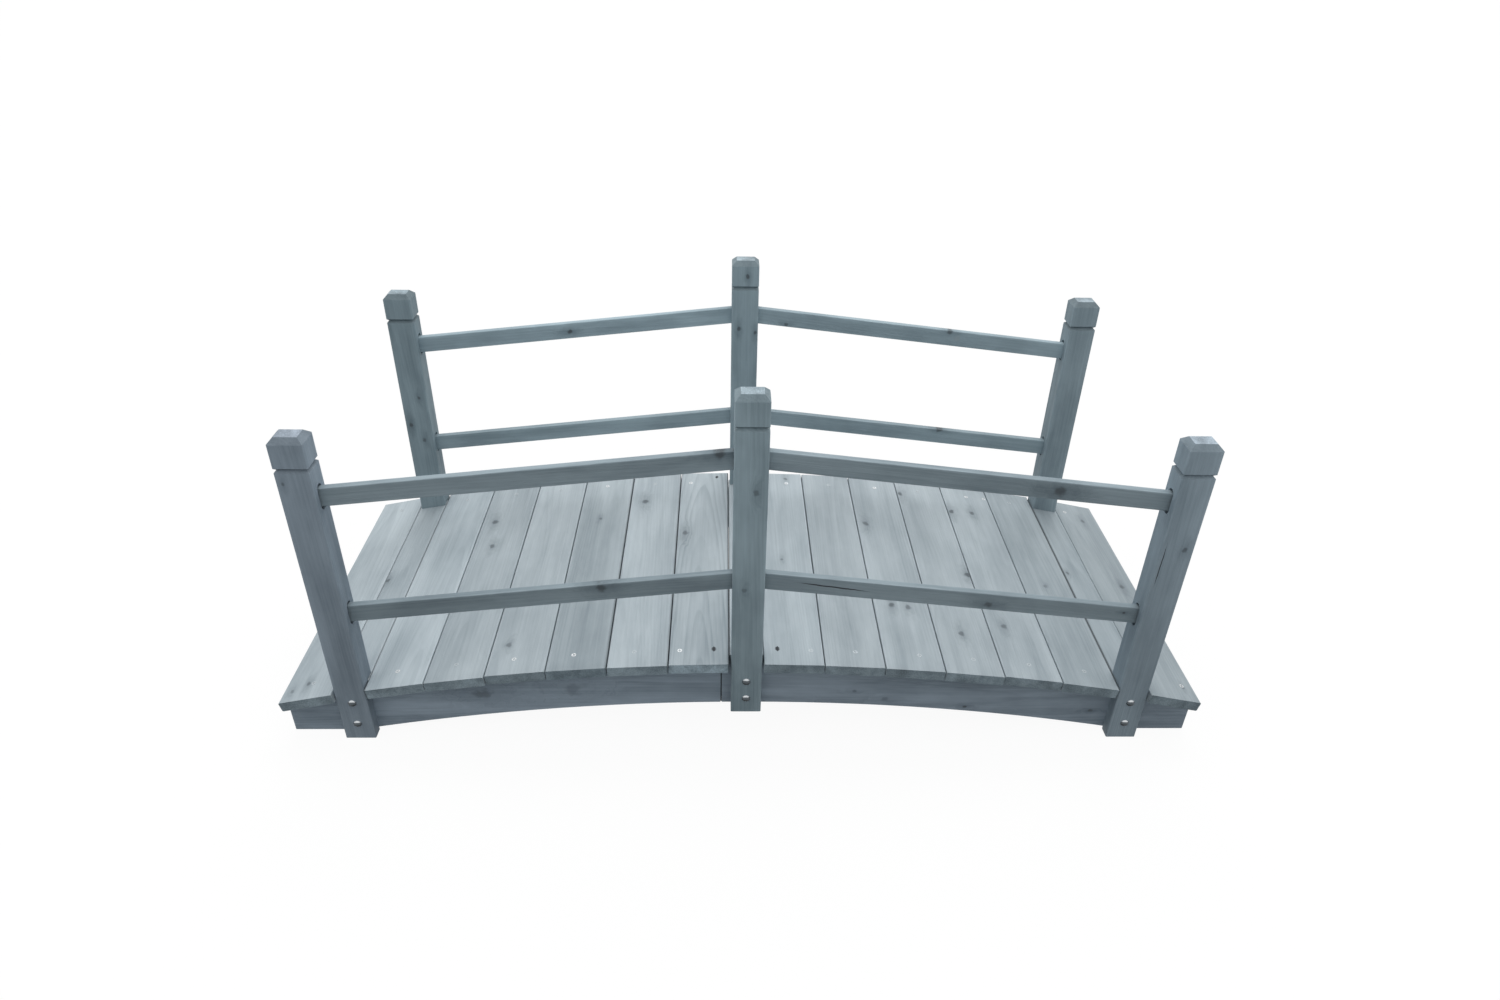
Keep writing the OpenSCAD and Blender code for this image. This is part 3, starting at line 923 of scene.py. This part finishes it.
def spliceShadeMaterial():
    look = spliceShadeFill
    material, tree, shader, where = newMaterial("spliceShadeDark")
    shadeSpeckle = noise(tree, where.outputs["Object"], *look["speckleNoise"])
    # painted shade: nearly black, with a little speckle
    tree.links.new(blendColour(tree, shadeSpeckle, look["shadeDarkest"], look["shadeSpeckle"]), shader.inputs["Base Color"])
    roughness = remap(tree, shadeSpeckle, *look["speckleRange"], *look["roughness"])
    tree.links.new(roughness, shader.inputs["Roughness"])
    addRelief(tree, shader, shadeSpeckle, 1.0, look["relief"])
    return material


def addSpliceShade():
    shadeDark = spliceShadeMaterial()
    width, depth, height = [spliceShadeFill[label] * mm for label in ("width", "depth", "height")]
    for side, turn in (("front", 1), ("rear", -1)):
        low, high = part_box(side + "_left_stringer")
        face = low.y if side == "front" else high.y
        x = -turn * spliceShadeFill["joint"] * mm
        y = face + turn * (spliceShadeFill["setBack"] * mm + depth / 2)
        z = high.z - spliceShadeFill["below"] * mm - height / 2
        bm = bmesh.new()
        place = Matrix.Translation((x, y, z)) @ Matrix.Diagonal((width, depth, height, 1))
        bmesh.ops.create_cube(bm, size=1, matrix=place)
        bmesh.ops.bevel(bm, geom=bm.edges, offset=spliceShadeFill["bevel"] * mm, segments=2, profile=0.5,
                        affect="EDGES", material=-1)
        joinCopies(side + "_splice_shade_fill", bm, [Matrix()], [shadeDark], spliceShadeFill["smoothBelow"])
        bm.free()


addSpliceShade()
print("splice packing made")


# floor and light
white = (1, 1, 1, 1)
studio = {
    "zenith": (1.00, 0.99, 0.98),   # dome overhead
    "horizon": (0.57, 0.61, 0.63),  # dome at eye level
    "floorRadius": 40,
    "floorSides": 64,
    "floorBounce": 0.08,            # what the floor gives back to the wood
    "shadowShare": 0.06,            # how much of the shadow the floor shows
    "underHalf": (0.70, 0.09),      # floor well under the deck, where the whole shadow shows
    "underFade": (0.12, 0.12),
    "sunEnergy": 0.92,
    "sunAngle": 40,
    "sunTurn": (-38, 5, 0),         # from behind and a little from the right
}


def whiteToCamera(tree):
    path = tree.nodes.new("ShaderNodeLightPath")
    seen = calc(tree, "MAXIMUM", path.outputs["Is Camera Ray"], path.outputs["Is Glossy Ray"])
    return calc(tree, "MAXIMUM", seen, path.outputs["Is Transmission Ray"])


def buildWorld():
    world = bpy.data.worlds.new("softDome")
    world.use_nodes = True
    tree = world.node_tree
    where = tree.nodes.new("ShaderNodeTexCoord")
    height = remap(tree, splitVector(tree, where.outputs["Generated"])[2], 0.0, 1.0)
    dome = blendColour(tree, height, opaque(studio["horizon"]), opaque(studio["zenith"]))
    shown = blendColour(tree, whiteToCamera(tree), dome, white)
    tree.links.new(shown, tree.nodes["Background"].inputs["Color"])
    scene.world = world


def underDeck(tree):
    where = tree.nodes.new("ShaderNodeTexCoord")
    distances = splitVector(tree, vectorCalc(tree, "ABSOLUTE", where.outputs["Object"]))[:2]
    masks = []
    for distance, half, paintedLightRamp in zip(distances, studio["underHalf"], studio["underFade"]):
        masks.append(remap(tree, distance, half, half + paintedLightRamp, 1.0, 0.0))
    return calc(tree, "MULTIPLY", *masks)


def floorMaterial():
    material = bpy.data.materials.new("paleFloor")
    material.use_nodes = True
    tree = material.node_tree
    tree.nodes.remove(tree.nodes["Principled BSDF"])
    diffuse = tree.nodes.new("ShaderNodeBsdfDiffuse")
    glow = tree.nodes.new("ShaderNodeEmission")
    mix = tree.nodes.new("ShaderNodeMixShader")
    seen = whiteToCamera(tree)
    bounce = opaque((1, 1, 1), studio["floorBounce"])
    tree.links.new(blendColour(tree, seen, bounce, white), diffuse.inputs["Color"])
    clearOfDeck = calc(tree, "SUBTRACT", 1.0, underDeck(tree))
    glowShare = calc(tree, "MULTIPLY", seen, 1 - studio["shadowShare"])
    feed(tree, mix.inputs[0], calc(tree, "MULTIPLY", glowShare, clearOfDeck))
    tree.links.new(diffuse.outputs[0], mix.inputs[1])
    tree.links.new(glow.outputs[0], mix.inputs[2])
    tree.links.new(mix.outputs[0], tree.nodes["Material Output"].inputs["Surface"])
    return material


def buildFloor():
    bm = bmesh.new()
    bmesh.ops.create_circle(bm, cap_ends=True, segments=studio["floorSides"], radius=studio["floorRadius"])
    mesh = bpy.data.meshes.new("floor")
    bm.to_mesh(mesh)
    bm.free()
    floor = bpy.data.objects.new("floor", mesh)
    scene.collection.objects.link(floor)
    mesh.materials.append(floorMaterial())


def addSun():
    lamp = bpy.data.lights.new("softSun", "SUN")
    lamp.energy = studio["sunEnergy"]
    lamp.angle = math.radians(studio["sunAngle"])
    sun = bpy.data.objects.new("softSun", lamp)
    sun.rotation_euler = [math.radians(turn) for turn in studio["sunTurn"]]
    scene.collection.objects.link(sun)


buildWorld()
buildFloor()
addSun()
print("floor and light made")
